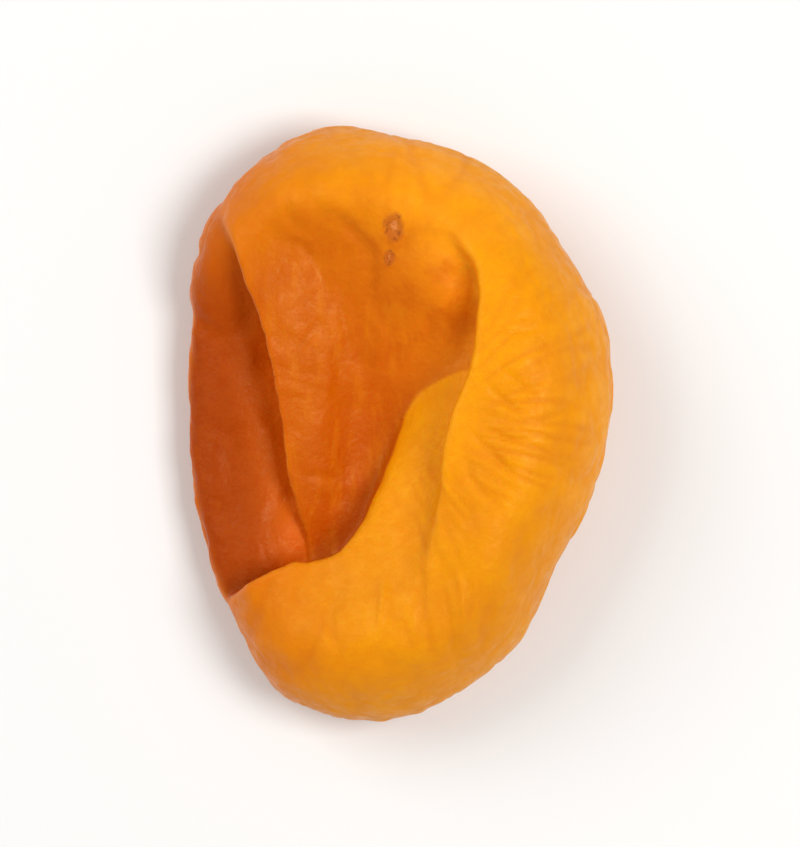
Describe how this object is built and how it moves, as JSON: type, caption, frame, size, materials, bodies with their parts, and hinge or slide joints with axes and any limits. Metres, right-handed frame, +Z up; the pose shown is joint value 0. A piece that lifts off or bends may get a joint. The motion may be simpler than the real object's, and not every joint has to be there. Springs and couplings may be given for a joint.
{
  "type": "dried apricot",
  "caption": "Whole pitted dried apricot lying on its flatter face, with a plump rolled rim around an open stone hollow and a slit at the side.",
  "frame": {"origin": "on the table, under the middle of the fruit's outline", "axes": "+Z up, +Y along the fruit towards the end with the blossom scar, +X from the slit across the stone hollow to the thick side of the rim"},
  "size_m": [0.0326, 0.0456, 0.015],
  "materials": {
    "flesh": "satin"
  },
  "bodies": {
    "root": {"apricot": "flesh"}
  },
  "joints": []
}
